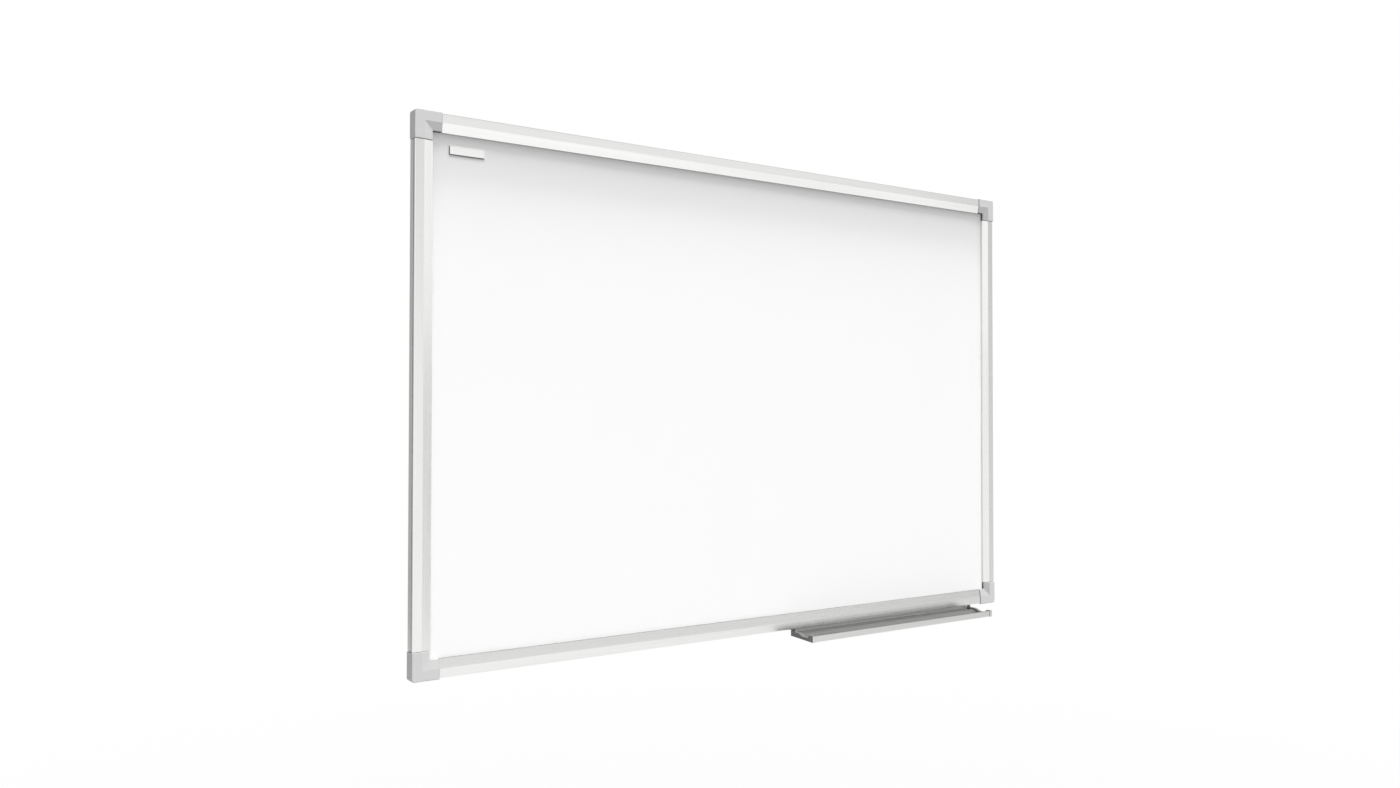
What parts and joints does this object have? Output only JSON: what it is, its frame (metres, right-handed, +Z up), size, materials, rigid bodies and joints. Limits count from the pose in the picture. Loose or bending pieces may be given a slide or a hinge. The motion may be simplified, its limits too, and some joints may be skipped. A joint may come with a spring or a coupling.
{
  "type": "whiteboard",
  "caption": "Wall-mounted magnetic whiteboard with an aluminium frame, push-fit plastic corner caps, a blank label plate and a sliding pen tray.",
  "frame": {"origin": "middle of the frame's back, in the wall plane", "axes": "+X to the right along the board seen from the front, +Y into the wall, +Z up; the board faces -Y"},
  "size_m": [0.9018, 0.0518, 0.6125],
  "materials": {
    "white_lacquer": "glossy white lacquer on steel",
    "core_fibre": "pressed fibre board",
    "galvanised_sheet": "galvanised, dull",
    "frame_aluminium": "satin anodised",
    "tray_aluminium": "satin anodised",
    "cap_plastic": "light grey, fine grain",
    "base_plastic": "dark grey",
    "end_cap_plastic": "mid grey, fine grain",
    "label_film": "blank plate with a grey rim"
  },
  "bodies": {
    "board": {"writing_surface": "white_lacquer", "core_board": "core_fibre", "back_sheet": "galvanised_sheet", "rail_top": "frame_aluminium", "rail_bottom": "frame_aluminium", "rail_left": "frame_aluminium", "rail_right": "frame_aluminium", "label_plate": "label_film", "corner_base_bottom_left": "base_plastic", "corner_base_top_left": "base_plastic", "corner_base_top_right": "base_plastic", "corner_base_bottom_right": "base_plastic"},
    "tray_body": {"tray": "tray_aluminium", "tray_end_cap_left": "end_cap_plastic", "tray_end_cap_right": "end_cap_plastic"},
    "cap_bottom_left": {"corner_cap_bottom_left": "cap_plastic"},
    "cap_top_left": {"corner_cap_top_left": "cap_plastic"},
    "cap_top_right": {"corner_cap_top_right": "cap_plastic"},
    "cap_bottom_right": {"corner_cap_bottom_right": "cap_plastic"}
  },
  "joints": [
    {"name": "tray_slide", "type": "slide", "parent": "board", "child": "tray_body", "axis": [1, 0, 0], "range_m": [-0.4828, 0.0175]},
    {"name": "cap_pull_bottom_left", "type": "slide", "parent": "board", "child": "cap_bottom_left", "axis": [0, -1, 0], "range_m": [0, 0.03]},
    {"name": "cap_pull_top_left", "type": "slide", "parent": "board", "child": "cap_top_left", "axis": [0, -1, 0], "range_m": [0, 0.03]},
    {"name": "cap_pull_top_right", "type": "slide", "parent": "board", "child": "cap_top_right", "axis": [0, -1, 0], "range_m": [0, 0.03]},
    {"name": "cap_pull_bottom_right", "type": "slide", "parent": "board", "child": "cap_bottom_right", "axis": [0, -1, 0], "range_m": [0, 0.03]}
  ]
}
